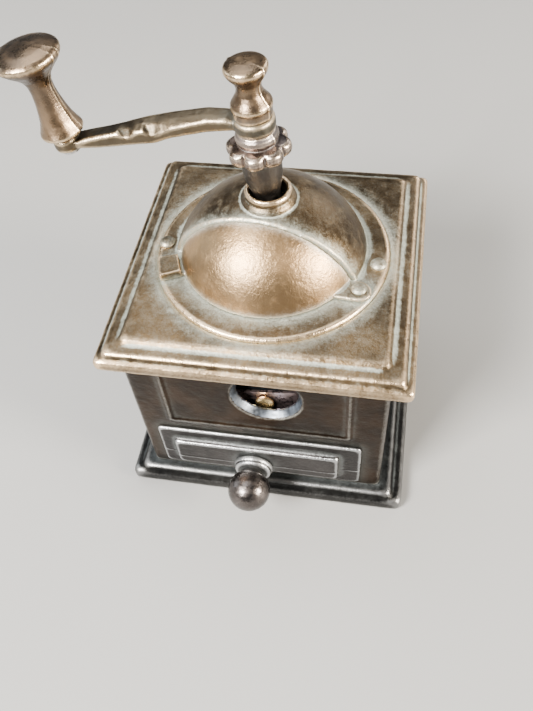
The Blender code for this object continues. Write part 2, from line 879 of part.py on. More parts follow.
shape = bmesh.new()
plate(shape, DRAWER_PLATE[:2], DRAWER_PLATE[2:], DRAWER_BACK, DRAWER_PLATE_FRONT, 0.6)
front = build("drawer_front", shape, "aged_grey_copper", slide)
shape = bmesh.new()
plate(shape, DRAWER_PANEL[:2], DRAWER_PANEL[2:], DRAWER_BACK - 0.2, DRAWER_PANEL_FRONT, 0.5)
combine(front, helper("drawer_panel", shape, slide), "UNION")
shape = bmesh.new()
lathe(
    shape,
    [(PULL_SHANK + GAP, -4.0), (PULL_SHANK + GAP, 2.0)],
    20,
    axis="Y",
    at=(PULL_X - DRAWER_X, 0.0, PULL_Z),
)
combine(front, helper("drawer_front_hole", shape, slide), "DIFFERENCE")

shape = bmesh.new()
tray_low = TRAY_Y[0] - DRAWER_BACK
tray_high = TRAY_Y[1] - DRAWER_BACK
tray_middle = (tray_low + tray_high) / 2
tray_half = (tray_high - tray_low) / 2


def tray_loop(inset, z):
    outline = rounded(TRAY_HALF - inset, tray_half - inset, 0.5, 0.0, tray_middle, steps=2)
    return [(x, y, z) for x, y in outline]


loft(
    shape,
    [
        tray_loop(0.0, TRAY_Z[0]),
        tray_loop(0.0, TRAY_Z[1]),
        tray_loop(TRAY_WALL, TRAY_Z[1]),
        tray_loop(TRAY_WALL, TRAY_Z[0] + TRAY_WALL),
    ],
)
tray = build("drawer_tray", shape, "zinc_casting", slide)
shape = bmesh.new()
for side in (-1, 1):
    across = sorted((side * (TRAY_HALF - TRAY_WALL + 0.1), side * (TRAY_HALF - 0.1)))
    deep = (STOP_Y[0] - DRAWER_BACK, STOP_Y[1] - DRAWER_BACK)
    box(shape, across, deep, (TRAY_Z[1] - 1.5, STOP_TOP))
combine(tray, helper("tray_stops", shape, slide), "UNION")
shape = bmesh.new()
lathe(
    shape,
    [(PULL_SHANK + GAP, -1.0), (PULL_SHANK + GAP, 2.0)],
    20,
    axis="Y",
    at=(PULL_X - DRAWER_X, 0.0, PULL_Z),
)
combine(tray, helper("tray_hole", shape, slide), "DIFFERENCE")


def turned_pull(name, profile, slot, count=32, ring=False):
    """A piece turned about the pull's axis; heights run forward from the drawer's back."""
    bm = bmesh.new()
    points = [(radius, y - DRAWER_BACK) for radius, y in profile]
    lathe(bm, points, count, ring=ring, axis="Y", at=(PULL_X - DRAWER_X, 0.0, PULL_Z))
    return build(name, bm, slot, slide)


seat = DRAWER_PANEL_FRONT - GAP
turned_pull(
    "knob_ferrule",
    [
        (PULL_SHANK + GAP, seat),
        (3.4, seat),
        (3.4, seat - 0.6),
        (3.15, seat - 0.75),
        (3.15, seat - 1.2),
        (2.9, seat - 1.35),
        (PULL_SHANK + GAP, seat - 1.35),
    ],
    "antique_copper",
    ring=True,
)
neck = seat - 1.35 - GAP
ball = [(0.0, BALL_Y - BALL_RADIUS)]
for step in range(1, 11):
    turn = -math.pi / 2 + step * math.radians(14.5)
    ball.append((BALL_RADIUS * math.cos(turn), BALL_Y + BALL_RADIUS * math.sin(turn)))
turned_pull(
    "drawer_knob",
    ball
    + [
        (1.9, neck - 0.15),
        (1.9, neck),
        (PULL_SHANK, neck),
        (PULL_SHANK, -20.3),
        (0.0, -20.3),
    ],
    "antique_copper",
)
nut_back = TRAY_Y[0] + TRAY_WALL + GAP
turned_pull(
    "drawer_knob_nut",
    [
        (PULL_SHANK + GAP, nut_back),
        (1.9, nut_back),
        (1.9, nut_back + 1.2),
        (PULL_SHANK + GAP, nut_back + 1.2),
    ],
    "plated_steel",
    count=6,
    ring=True,
)

# ---- Sharpener ----
shape = bmesh.new()
box(shape, BLOCK_X, BLOCK_Y, BLOCK_Z)
block = build("sharpener_block", shape, "zinc_casting", smooth=0)
shape = bmesh.new()
lathe(
    shape,
    [
        (CONE_RADIUS, BLOCK_X[0] - 1.0),
        (CONE_RADIUS, CONE_START_X),
        (CONE_TIP_RADIUS, CONE_END_X),
        (CONE_TIP_RADIUS, BLOCK_X[1] + 1.0),
    ],
    32,
    axis="X",
    at=(0.0, PENCIL_Y, PENCIL_Z),
)
combine(block, helper("block_cone", shape), "DIFFERENCE")
rise = BLADE_EDGE[1] - BLADE_EDGE[0]
shape = bmesh.new()
slot_ends = ((BLADE_X[0] + 0.6, 28.3), (BLADE_X[1] - 0.6, 29.0))
slot_outline = [
    (slot_ends[0][0], slot_ends[0][1] - 1.2),
    (slot_ends[1][0], slot_ends[1][1] - 0.2),
    (slot_ends[1][0], 31.2),
    (slot_ends[0][0], 32.4),
]
loft(
    shape,
    [
        [(x, BLOCK_Y[0] - 1.0, z) for x, z in slot_outline],
        [(x, PENCIL_Y + 0.4, z) for x, z in slot_outline],
    ],
)
combine(block, helper("block_slot", shape), "DIFFERENCE")
shape = bmesh.new()
lathe(
    shape,
    [(0.95, BLOCK_Y[0] - 1.0), (0.95, BLOCK_Y[0] + 2.2)],
    16,
    axis="Y",
    at=(BLADE_SCREW_X, 0.0, BLADE_SCREW_Z),
)
for ledge in LEDGES_X:
    middle = (ledge[0] + ledge[1]) / 2
    rod(shape, middle, LEDGE_SCREW_Y, BLOCK_Z[0] - 1.0, 23.6, 0.95, 16)
combine(block, helper("block_screw_holes", shape), "DIFFERENCE")

shape = bmesh.new()
blade_outline = [
    (BLADE_X[0], BLADE_FOOT),
    (BLADE_X[1], BLADE_FOOT),
    (BLADE_X[1], BLADE_EDGE[1]),
    (BLADE_X[0], BLADE_EDGE[0]),
]
loft(
    shape,
    [
        [(x, BLADE_Y[0], z) for x, z in blade_outline],
        [(x, BLADE_Y[1], z) for x, z in blade_outline],
    ],
)
blade = build("sharpener_blade", shape, "blade_steel", smooth=0)
shape = bmesh.new()
lathe(
    shape,
    [(0.95, BLADE_Y[0] - 1.0), (0.95, BLADE_Y[1] + 0.6)],
    16,
    axis="Y",
    at=(BLADE_SCREW_X, 0.0, BLADE_SCREW_Z),
)
combine(blade, helper("blade_hole", shape), "DIFFERENCE")

shape = bmesh.new()
lathe(
    shape,
    [
        (0.0, -20.5),
        (1.3, -20.5),
        (1.6, -20.3),
        (1.6, BLADE_Y[0] - GAP),
        (0.65, BLADE_Y[0] - GAP),
        (0.65, BLOCK_Y[0] + 1.9),
        (0.0, BLOCK_Y[0] + 1.9),
    ],
    24,
    axis="Y",
    at=(BLADE_SCREW_X, 0.0, BLADE_SCREW_Z),
)
build("blade_screw", shape, "brass")


def screw(name, x, y, head_low, head_high, head_radius, tip, radius, slot):
    """An upright screw with its head down."""
    bm = bmesh.new()
    lathe(
        bm,
        [
            (0.0, head_low),
            (head_radius - 0.25, head_low),
            (head_radius, head_low + 0.25),
            (head_radius, head_high),
            (radius, head_high),
            (radius, tip - 0.4),
            (radius * 0.4, tip),
            (0.0, tip),
        ],
        20,
    )
    return build(name, bm, slot, place(x, y, 0.0))


for side, ledge in zip(("left", "right"), LEDGES_X):
    screw(
        "sharpener_screw_" + side,
        (ledge[0] + ledge[1]) / 2,
        LEDGE_SCREW_Y,
        LEDGE_Z[0] - GAP - 0.8,
        LEDGE_Z[0] - GAP,
        1.5,
        23.3,
        0.65,
        "plated_steel",
    )
for corner_name, sx, sy in corners():
    screw(
        "tie_screw_" + corner_name,
        sx * TIE_X,
        sy * TIE_Y,
        0.3,
        1.2,
        1.75,
        39.1,
        TIE_RADIUS,
        "plated_steel",
    )
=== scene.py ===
"""Looks of the miniature coffee mill: cast, copper-plated pieces with patina and worn edges.

Named lengths are in millimetres unless a comment says metres. Points of a mesh are in metres, as
Blender has them.
"""

import json
import math

import bpy
import numpy as np
from mathutils import Euler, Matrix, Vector
from mathutils.bvhtree import BVHTree


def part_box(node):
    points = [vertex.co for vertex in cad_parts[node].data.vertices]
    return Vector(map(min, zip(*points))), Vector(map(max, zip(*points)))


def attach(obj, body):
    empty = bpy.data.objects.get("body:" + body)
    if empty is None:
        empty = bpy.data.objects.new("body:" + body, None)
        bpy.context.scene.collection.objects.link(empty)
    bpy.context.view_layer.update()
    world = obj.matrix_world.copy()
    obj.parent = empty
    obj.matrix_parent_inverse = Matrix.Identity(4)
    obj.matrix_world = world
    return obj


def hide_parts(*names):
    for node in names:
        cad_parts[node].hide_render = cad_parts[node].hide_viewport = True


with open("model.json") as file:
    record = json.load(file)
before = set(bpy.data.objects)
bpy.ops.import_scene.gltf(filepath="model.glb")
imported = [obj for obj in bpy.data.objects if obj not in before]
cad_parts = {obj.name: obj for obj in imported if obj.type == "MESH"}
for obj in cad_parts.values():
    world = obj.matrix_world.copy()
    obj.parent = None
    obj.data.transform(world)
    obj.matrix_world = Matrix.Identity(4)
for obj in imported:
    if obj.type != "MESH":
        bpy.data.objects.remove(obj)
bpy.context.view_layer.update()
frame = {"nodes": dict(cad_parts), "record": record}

MM = 0.001
scene = bpy.context.scene
nodes = frame["nodes"]
record = frame["record"]

BODY_OF = {
    node: body for body, members in record["behaviour"]["bodies"].items() for node in members
}


# ---- Cast texture ----
HASH_CELL = (374761393, 668265263, 2147483647)
HASH_SEED = 974711
HASH_STIR = 1274126177


def lattice(cells, seed):
    """A repeatable value from -1 to 1 for each whole-number cell."""
    mix = (cells * np.array(HASH_CELL)).sum(axis=1) + seed * HASH_SEED
    mix = (mix ^ (mix >> 13)) * HASH_STIR
    mix = mix ^ (mix >> 16)
    return (mix & 0xFFFF) / 32767.5 - 1.0


def value_noise(points, seed):
    """Smooth noise from -1 to 1 with one feature per unit."""
    base = np.floor(points).astype(np.int64)
    part = points - base
    part = part * part * (3 - 2 * part)
    total = np.zeros(len(points))
    for dx in (0, 1):
        for dy in (0, 1):
            for dz in (0, 1):
                weight = (
                    (part[:, 0] if dx else 1 - part[:, 0])
                    * (part[:, 1] if dy else 1 - part[:, 1])
                    * (part[:, 2] if dz else 1 - part[:, 2])
                )
                total += weight * lattice(base + np.array([dx, dy, dz]), seed)
    return total


def cast_noise(points):
    """Two sizes of noise, the finer one shifted so that their cells don't line up."""
    return 0.65 * value_noise(points, 3) + 0.35 * value_noise(points * 2.1 + 17.3, 5)


# ---- Dense cast meshes ----
GAP = 0.3  # between touching pieces of the assembly
SEARCH = 3.0  # how far from a piece its neighbours still count
WIDE_ROUNDS = 46
FINE_ROUNDS = 8
FORM_HEIGHT = 0.35  # over the wide average, for a full form or hollow
EDGE_HEIGHT = 0.16  # over the fine average, for a full edge
FIELD_VOXEL = 0.25  # the voxel size at which those two heights hold


def read_vectors(items, attribute):
    """One attribute of a mesh's points or faces, as rows of three."""
    flat = np.empty(len(items) * 3)
    items.foreach_get(attribute, flat)
    return flat.reshape(-1, 3)


def world_mesh(name):
    """A CAD node's points in the world, in metres, and its polygons."""
    source = nodes[name]
    matrix = np.array(source.matrix_world)
    points = read_vectors(source.data.vertices, "co") @ matrix[:3, :3].T + matrix[:3, 3]
    return [tuple(p) for p in points], [tuple(p.vertices) for p in source.data.polygons]


TREES = {}


def tree(name):
    """A CAD node's faces, ready for a nearest-point search."""
    if name not in TREES:
        TREES[name] = BVHTree.FromPolygons(*world_mesh(name))
    return TREES[name]


def voxel_mesh(name, voxel):
    """A dense, even mesh of a CAD node."""
    points, polygons = world_mesh(name)
    raw = bpy.data.meshes.new(name + "_raw")
    raw.from_pydata(points, [], polygons)
    raw.validate()
    worker = bpy.data.objects.new(name + "_worker", raw)
    scene.collection.objects.link(worker)
    remesh = worker.modifiers.new("voxels", "REMESH")
    remesh.mode = "VOXEL"
    remesh.voxel_size = voxel * MM
    remesh.adaptivity = 0.0
    graph = bpy.context.evaluated_depsgraph_get()
    graph.update()
    mesh = bpy.data.meshes.new_from_object(worker.evaluated_get(graph))
    bpy.data.objects.remove(worker, do_unlink=True)
    bpy.data.meshes.remove(raw)
    return mesh


def relax(values, edges, rounds):
    """Averages each point's row with its neighbours' along the mesh's edges, some rounds over."""
    count = len(values)
    degree = np.bincount(edges.ravel(), minlength=count).astype(float)
    degree[degree == 0] = 1.0
    out = values.copy()
    for _ in range(rounds):
        fresh = np.empty_like(out)
        for column in range(out.shape[1]):
            value = out[:, column]
            total = np.bincount(edges[:, 0], value[edges[:, 1]], count)
            total += np.bincount(edges[:, 1], value[edges[:, 0]], count)
            fresh[:, column] = total / degree
        out = 0.5 * out + 0.5 * fresh
    return out


def move_points(mesh, spots):
    """Puts a mesh's points at spots and gives back its new normals."""
    mesh.vertices.foreach_set("co", spots.ravel())
    mesh.update()
    return read_vectors(mesh.vertex_normals, "vector")


def add_field(mesh, name, values):
    """Stores one number per point, for a material to read."""
    field = mesh.attributes.new(name, "FLOAT", "POINT")
    field.data.foreach_set("value", np.asarray(values, dtype=np.float32))


def contact_of(spots, near, reach):
    """How close each point is to the nodes of near: 1 at a seam, fading over about reach."""
    contact = np.zeros(len(spots))
    margin = SEARCH * MM
    for other in near:
        search = tree(other)
        low, high = (np.array(corner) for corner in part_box(other))
        close = np.all((spots > low - margin) & (spots < high + margin), axis=1)
        for i in np.nonzero(close)[0]:
            distance = search.find_nearest(spots[i], margin)[3]
            if distance is not None:
                beyond = max(distance / MM - GAP, 0.0)
                contact[i] = max(contact[i], math.exp(-beyond / reach))
    return contact


def add_wear_fields(mesh, spots, up, edges, voxel, contact, haze_rounds):
    """Stores where a piece would wear bright and where it would gather patina.

    edge and form are the height over a fine and a wide average, from -1 to 1. contact follows the
    seams, and haze spreads the seams and the hollows over the faces around them.
    """

    def height(rounds, full):
        over = ((spots - relax(spots, edges, rounds)) * up).sum(1) / MM
        return over / (full * voxel / FIELD_VOXEL)

    def spread(values):
        return relax(values[:, None], edges, haze_rounds)[:, 0]

    form = height(WIDE_ROUNDS, FORM_HEIGHT)
    add_field(mesh, "edge", np.clip(height(FINE_ROUNDS, EDGE_HEIGHT), -1.0, 1.0))
    add_field(mesh, "form", np.clip(form, -1.0, 1.0))
    hollow = np.clip(-form, 0.0, 1.0)
    add_field(mesh, "haze", np.maximum(spread(hollow), spread(contact)))
    add_field(mesh, "contact", contact)


def cast(name, voxel, grow, soften, grain, near, shape, reach, haze_rounds):
    """Replaces a CAD node with a dense mesh of the same shape, softened like a casting.

    grow moves its skin out to close the assembly gap, soften and haze_rounds count rounds of
    relax, grain is (height, size) of the cast texture or None, near names the nodes whose contact
    lines gather patina, and shape is a last change to the points or None.
    """
    mesh = voxel_mesh(name, voxel)
    edges = np.empty(len(mesh.edges) * 2, dtype=np.int64)
    mesh.edges.foreach_get("vertices", edges)
    edges = edges.reshape(-1, 2)
    spots = relax(read_vectors(mesh.vertices, "co"), edges, soften)
    up = move_points(mesh, spots)
    spots = spots + up * grow * MM
    if shape is not None:
        spots = shape(spots, up)
    up = move_points(mesh, spots)
    contact = contact_of(spots, near, reach)
    add_wear_fields(mesh, spots, up, edges, voxel, contact, haze_rounds)
    if grain is not None:
        height, size = grain
        bumps = cast_noise(spots / MM / size)
        move_points(mesh, spots + up * (bumps * height * MM)[:, None])
    mesh.polygons.foreach_set("use_smooth", [True] * len(mesh.polygons))
    piece = bpy.data.objects.new("cast_" + name, mesh)
    scene.collection.objects.link(piece)
    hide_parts(name)
    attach(piece, BODY_OF[name])
    return piece


# ---- Materials ----
class Shader:
    """A short way to wire a procedural material."""

    def __init__(self, name):
        self.material = bpy.data.materials.new(name)
        self.material.use_nodes = True
        self.tree = self.material.node_tree
        self.surface = self.tree.nodes["Principled BSDF"]
        self.place = self.add("ShaderNodeTexCoord", {}).outputs["Object"]

    def link(self, source, socket):
        """Sets a socket to a number or colour, or links it to another node's output."""
        if isinstance(source, (int, float, tuple)):
            socket.default_value = source
        else:
            self.tree.links.new(source, socket)

    def add(self, kind, inputs, **settings):
        node = self.tree.nodes.new(kind)
        for key, value in settings.items():
            setattr(node, key, value)
        for key, source in inputs.items():
            self.link(source, node.inputs[key])
        return node

    def noise(self, size, detail=3.0, rough=0.55, seed=0.0):
        """Noise from 0 to 1 with features of about size."""
        inputs = {
            "Vector": self.place,
            "Scale": 1.0 / (size * MM),
            "Detail": detail,
            "Roughness": rough,
            "W": seed,
        }
        return self.add("ShaderNodeTexNoise", inputs, noise_dimensions="4D").outputs["Fac"]

    def field(self, name):
        return self.add("ShaderNodeAttribute", {}, attribute_name=name).outputs["Fac"]

    def math(self, kind, a, b, clamp=False):
        node = self.add("ShaderNodeMath", {0: a, 1: b}, operation=kind, use_clamp=clamp)
        return node.outputs[0]

    def plus(self, a, b):
        return self.math("ADD", a, b)

    def minus(self, a, b, clamp=False):
        return self.math("SUBTRACT", a, b, clamp)

    def times(self, a, b):
        return self.math("MULTIPLY", a, b)

    def ramp(self, value, span, to=(0.0, 1.0)):
        """Maps the span of value smoothly onto to."""
        inputs = {
            "Value": value,
            "From Min": span[0],
            "From Max": span[1],
            "To Min": to[0],
            "To Max": to[1],
        }
        node = self.add("ShaderNodeMapRange", inputs, interpolation_type="SMOOTHSTEP")
        return node.outputs["Result"]

    def blend(self, factor, a, b):
        """Mixes two colours, from a at factor 0 to b at 1."""
        node = self.add("ShaderNodeMix", {}, data_type="RGBA")
        for index, source in ((0, factor), (6, a), (7, b)):
            self.link(source, node.inputs[index])
        return node.outputs[2]

    def bump(self, height, distance, strength, under=None):
        inputs = {"Strength": strength, "Distance": distance * MM, "Height": height}
        if under is not None:
            inputs["Normal"] = under
        return self.add("ShaderNodeBump", inputs).outputs["Normal"]

    def finish(self, colour, rough, metal, normal=None):
        self.link(colour, self.surface.inputs["Base Color"])
        self.link(rough, self.surface.inputs["Roughness"])
        self.link(metal, self.surface.inputs["Metallic"])
        if normal is not None:
            self.link(normal, self.surface.inputs["Normal"])
        return self.material


def rgb(r, g, b):
    return (r, g, b, 1.0)


# Feature sizes of the noise in the antique finish.
BLOTCH = 9.0
MOTTLE = 1.6
SPECK = 0.35
DUST = 0.13
WAVE = 0.9
PIT = 0.32

# Its ramps, each the span of the value that it reads, and its weights.
TONE_SPAN = (0.38, 0.66)
MOTTLE_SPAN = (0.52, 0.72)
MOTTLE_MOST = 0.55
WEAR_SPAN = (0.22, 0.75)
WEAR_GRAIN = 0.6
WEAR_MOTTLE = 0.15
DRIFT_MOTTLE = 0.8
WANDER_BLOTCH = 0.6
HOLLOW_SPAN = (0.06, 0.5)
HOLLOW_EDGE = 0.4
HOLLOW_DRIFT = 0.6
SEAM_SPAN = (0.3, 1.0)
FILM_SPAN = (0.05, 1.4)
FILM_GAIN = 1.9
FILM_MOST = 0.75
VEIL_SPAN = (-0.25, 0.5)
BREAK_SPAN = (-0.16, 0.12)
BREAK_LEAST = 0.55
GLOSS_SPAN = (0.3, 0.75)
GLOSS_BELOW = 0.4
GLOSS_ABOVE = 0.6
PATINA_ROUGHER = 0.2
WORN_SMOOTHER = 0.08
PATINA_DULLER = 0.25


def antique(
    name,
    flat,
    warm,
    bright,
    patina,
    rough,
    edge_wear=1.0,
    patina_gain=1.0,
    pits=0.03,
    veil=0.15,
    spread=0.35,
    wave=0.07,
    groove=1.25,
    gloss_range=0.17,
):
    """Antiqued plate: brown flats, bright rubbed edges and pale patina in hollows and seams.

    flat and warm are the plate's two tones, bright its rubbed metal and patina the film on it.
    edge_wear and patina_gain say how strong those last two are, spread how far raised forms wear,
    groove how much hollows gather, veil how much film lies on open faces, and gloss_range how far
    the roughness wanders. wave and pits are depths of bump.
    """
    s = Shader(name)
    large = s.noise(BLOTCH, seed=1.0)
    medium = s.noise(MOTTLE, detail=4.0, rough=0.6, seed=2.0)
    small = s.noise(SPECK, rough=0.6, seed=3.0)
    dust = s.noise(DUST, detail=2.0, rough=0.6, seed=9.0)
    grainy = s.minus(s.plus(s.times(small, 0.5), s.times(dust, 0.5)), 0.5)
    mottled = s.minus(medium, 0.5)
    drift = s.plus(s.times(mottled, DRIFT_MOTTLE), grainy)
    wander = s.plus(drift, s.times(s.minus(large, 0.5), WANDER_BLOTCH))

    colour = s.blend(s.ramp(large, TONE_SPAN), flat, warm)
    colour = s.blend(s.ramp(medium, MOTTLE_SPAN, (0.0, MOTTLE_MOST)), colour, warm)

    edge = s.plus(s.field("edge"), s.times(s.field("form"), spread))
    edge = s.plus(edge, s.times(grainy, WEAR_GRAIN))
    edge = s.plus(edge, s.times(mottled, WEAR_MOTTLE))
    worn = s.ramp(edge, WEAR_SPAN, (0.0, edge_wear))
    colour = s.blend(worn, colour, bright)

    hollow = s.times(s.field("form"), -groove)
    hollow = s.plus(hollow, s.times(s.field("edge"), -HOLLOW_EDGE))
    hollow = s.ramp(s.plus(hollow, s.times(drift, HOLLOW_DRIFT)), HOLLOW_SPAN)
    seam = s.ramp(s.plus(s.field("contact"), drift), SEAM_SPAN)
    film = s.plus(s.times(s.field("haze"), FILM_GAIN), wander)
    film = s.ramp(film, FILM_SPAN, (0.0, FILM_MOST))
    dusty = s.math("MAXIMUM", s.math("MAXIMUM", hollow, seam), film)
    dusty = s.plus(s.times(dusty, patina_gain), s.ramp(wander, VEIL_SPAN, (0.0, veil)))
    dusty = s.times(dusty, s.ramp(grainy, BREAK_SPAN, (BREAK_LEAST, 1.0)))
    dusty = s.math("MINIMUM", dusty, 1.0)
    colour = s.blend(dusty, colour, patina)

    around = (rough - GLOSS_BELOW * gloss_range, rough + GLOSS_ABOVE * gloss_range)
    roughness = s.ramp(medium, GLOSS_SPAN, around)
    roughness = s.plus(roughness, s.times(dusty, PATINA_ROUGHER))
    roughness = s.minus(roughness, s.times(worn, WORN_SMOOTHER), clamp=True)
    metallic = s.minus(1.0, s.times(dusty, PATINA_DULLER), clamp=True)
    waves = s.noise(WAVE, detail=5.0, rough=0.62, seed=5.0)
    normal = s.bump(waves, wave, strength=0.7)
    normal = s.bump(s.noise(PIT, rough=0.6, seed=6.0), pits, strength=1.0, under=normal)
    return s.finish(colour, roughness, metallic, normal)


# Feature sizes of plain metal, the span of its stains and the depth of its grain.
STAIN = 1.2
MARK = 0.6
STAIN_SPAN = (0.35, 0.7)
GRAIN_DEPTH = 0.02


def plain_metal(name, colour, dark, rough, grain=0.4):
    """Bare or plated metal with dark stains, handling marks and grain of this size."""
    s = Shader(name)
    stains = s.noise(STAIN, detail=4.0, rough=0.6, seed=4.0)
    tone = s.blend(s.ramp(stains, STAIN_SPAN), colour, dark)
    marks = s.noise(MARK, detail=4.0, rough=0.6, seed=7.0)
    roughness = s.ramp(marks, GLOSS_SPAN, (rough - 0.06, rough + 0.12))
    normal = s.bump(s.noise(grain, seed=8.0), GRAIN_DEPTH, strength=0.5)
    return s.finish(tone, roughness, 1.0, normal)


COPPER = antique(
    "antique_copper",
    rgb(0.070, 0.048, 0.027),
    rgb(0.155, 0.098, 0.046),
    rgb(0.74, 0.54, 0.33),
    rgb(0.315, 0.335, 0.290),
    rough=0.36,
    veil=0.34,
    pits=0.055,
    groove=2.0,
)
BODY_COPPER = antique(
    "body_copper",
    rgb(0.014, 0.009, 0.006),
    rgb(0.034, 0.019, 0.010),
    rgb(0.66, 0.65, 0.60),
    rgb(0.075, 0.080, 0.076),
    rough=0.38,
    patina_gain=0.6,
    veil=0.06,
    spread=0.0,
)
GREY_COPPER = antique(
    "aged_grey_copper",
    rgb(0.009, 0.009, 0.009),
    rgb(0.019, 0.018, 0.017),
    rgb(0.19, 0.19, 0.19),
    rgb(0.058, 0.066, 0.069),
    rough=0.42,
    patina_gain=0.8,
    spread=0.4,
    pits=0.06,
)
DRAWER_COPPER = antique(
    "drawer_copper",
    rgb(0.020, 0.018, 0.018),
    rgb(0.038, 0.033, 0.033),
    rgb(0.46, 0.47, 0.48),
    rgb(0.175, 0.190, 0.192),
    rough=0.4,
    patina_gain=0.45,
    spread=0.8,
    pits=0.05,
)
BRONZE = antique(
    "antique_bronze",
    rgb(0.125, 0.088, 0.058),
    rgb(0.27, 0.178, 0.098),
    rgb(0.80, 0.60, 0.38),
    rgb(0.130, 0.130, 0.126),
    rough=0.3,
    patina_gain=0.55,
    wave=0.035,
    pits=0.04,
)
PURPLE_BRONZE = antique(
    "greyed_bronze",
    rgb(0.105, 0.088, 0.084),
    rgb(0.20, 0.150, 0.125),
    rgb(0.74, 0.60, 0.46),
    rgb(0.120, 0.123, 0.128),
    rough=0.3,
    patina_gain=0.6,
    wave=0.03,
    pits=0.035,
)
ARM_BRONZE = antique(
    "arm_bronze",
    rgb(0.048, 0.038, 0.026),
    rgb(0.088, 0.066, 0.041),
    rgb(0.70, 0.55, 0.36),
    rgb(0.095, 0.104, 0.094),
    rough=0.35,
    patina_gain=0.6,
    veil=0.25,
    wave=0.02,
    pits=0.045,
)
HANDLE_BRONZE = antique(
    "handle_bronze",
    rgb(0.110, 0.080, 0.056),
    rgb(0.25, 0.168, 0.100),
    rgb(0.80, 0.61, 0.39),
    rgb(0.150, 0.150, 0.150),
    rough=0.3,
    patina_gain=0.5,
    wave=0.03,
    pits=0.035,
)
DOOR_COPPER = antique(
    "bright_copper",
    rgb(0.23, 0.152, 0.080),
    rgb(0.43, 0.272, 0.132),
    rgb(0.96, 0.76, 0.46),
    rgb(0.50, 0.490, 0.440),
    rough=0.36,
    gloss_range=0.04,
    veil=0.05,
    groove=0.4,
    edge_wear=0.8,
    pits=0.055,
    wave=0.025,
)
BALL_COPPER = antique(
    "ball_copper",
    rgb(0.075, 0.066, 0.064),
    rgb(0.115, 0.097, 0.090),
    rgb(0.52, 0.44, 0.38),
    rgb(0.20, 0.21, 0.21),
    rough=0.27,
    patina_gain=0.5,
    wave=0.02,
    pits=0.02,
)
SLEEVE = antique(
    "dark_sleeve",
    rgb(0.042, 0.037, 0.034),
    rgb(0.072, 0.062, 0.054),
    rgb(0.30, 0.25, 0.21),
    rgb(0.14, 0.14, 0.135),
    rough=0.36,
    patina_gain=0.5,
    wave=0.16,
    pits=0.06,
)
ZINC = plain_metal("bare_zinc", rgb(0.145, 0.165, 0.195), rgb(0.075, 0.084, 0.098), 0.34)
# The steel blade's pink tint is a painted reflection of copper, not the colour of the steel.
BLADE_PAINTED_REFLECTION = plain_metal("blade_steel", rgb(0.52, 0.40, 0.40), rgb(0.40, 0.31, 0.31), 0.3, grain=0.15)
BRASS = plain_metal("screw_brass", rgb(0.95, 0.72, 0.38), rgb(0.80, 0.56, 0.26), 0.26)
STEEL = plain_metal("plated_steel", rgb(0.50, 0.50, 0.50), rgb(0.32, 0.32, 0.33), 0.30)


def dress(piece, material):
    piece.data.materials.clear()
    piece.data.materials.append(material)


def dress_faces(piece, chosen, material):
    """Gives some of a piece's faces a second material."""
    piece.data.materials.append(material)
    piece.data.polygons.foreach_set("material_index", chosen.astype(np.int32))


# ---- Shapes and finishes of single pieces ----
WINDOW_X = 1.85
WINDOW_Z = 30.3
WINDOW_LIP = 5.95  # radius out to which the window's rim is bare
FRONT_WALL_Y = -20.0  # everything in front of it is the front wall
SKIN = 1.35  # depth of plated wall, from outside

DOOR_CENTRE = (-0.2, -0.2, 38.2)
DOOR_RADIUS = 15.7
DOOR_PROUD = 0.15  # what stands out this far is the door's thumb tab or pivot lug
DOME_CENTRE = (-0.3, 0.4, 37.1)
DOME_RADIUS = 16.57
SNAP = 0.09  # points this close to a dome are moved onto it

DRAWER_RIDGE_Z = 10.75
DRAWER_RIDGE_WIDTH = 0.16
DRAWER_RIDGE_HEIGHT = 0.09

# Foot of an axis and its lean in radians, and the angles in degrees of the ridges round it.
SPINDLE = ((0.0, 0.0, 50.7), math.radians(4.1))
SPINDLE_RIDGES = (-28.0, 152.0)
HANDLE = ((-30.78, 0.0, 63.65), math.radians(8.0))
HANDLE_RIDGES = (-17.0, 0.0, 163.0)


def bare_inside(piece):
    """Leaves the faces inside the box and round its window in the bare metal of the casting."""
    centres = read_vectors(piece.data.polygons, "center")
    low, high = (np.array(corner)[:2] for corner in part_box("body_shell"))
    flat = centres[:, :2]
    inside = np.all((flat > low + SKIN * MM) & (flat < high - SKIN * MM), axis=1)
    away = np.hypot(centres[:, 0] - WINDOW_X * MM, centres[:, 2] - WINDOW_Z * MM)
    window = (away < WINDOW_LIP * MM) & (centres[:, 1] < FRONT_WALL_Y * MM)
    dress_faces(piece, inside | window, ZINC)


def painted_shade_outside(piece, centre, radius, material):
    """Gives another finish to what stands out of a dome; on the door this darker copper is
    painted shade on the thumb tab and pivot lug.
    """
    centres = read_vectors(piece.data.polygons, "center")
    away = np.linalg.norm(centres - np.array(centre) * MM, axis=1)
    dress_faces(piece, away > radius * MM, material)


def onto_sphere(centre, radius):
    """Moves points that lie close to a sphere onto it, so that the dome has no facets."""
    middle = np.array(centre) * MM

    def shape(spots, up):
        away = spots - middle
        distance = np.linalg.norm(away, axis=1)
        close = np.abs(distance - radius * MM) < SNAP * MM
        spots = spots.copy()
        spots[close] = middle + away[close] * (radius * MM / distance[close])[:, None]
        return spots

    return shape


def ridges(foot, lean, angles, height, width):
    """Raises thin parting ridges down a turned piece, at these angles round its axis."""
    origin = np.array(foot) * MM
    axis = np.array([-math.sin(lean), 0.0, math.cos(lean)])
    across = np.array([math.cos(lean), 0.0, math.sin(lean)])
    deep = np.array([0.0, 1.0, 0.0])

    def shape(spots, up):
        away = spots - origin
        flat = away - np.outer(away @ axis, axis)
        radius = np.linalg.norm(flat, axis=1)
        turn = np.arctan2(flat @ deep, flat @ across)
        lift = np.zeros(len(spots))
        for angle in angles:
            gap = np.angle(np.exp(1j * (turn - math.radians(angle)))) * radius
            lift += np.exp(-((gap / (width * MM)) ** 2))
        side = np.linalg.norm(up - np.outer(up @ axis, axis), axis=1)
        return spots + up * (lift * side * height * MM)[:, None]

    return shape


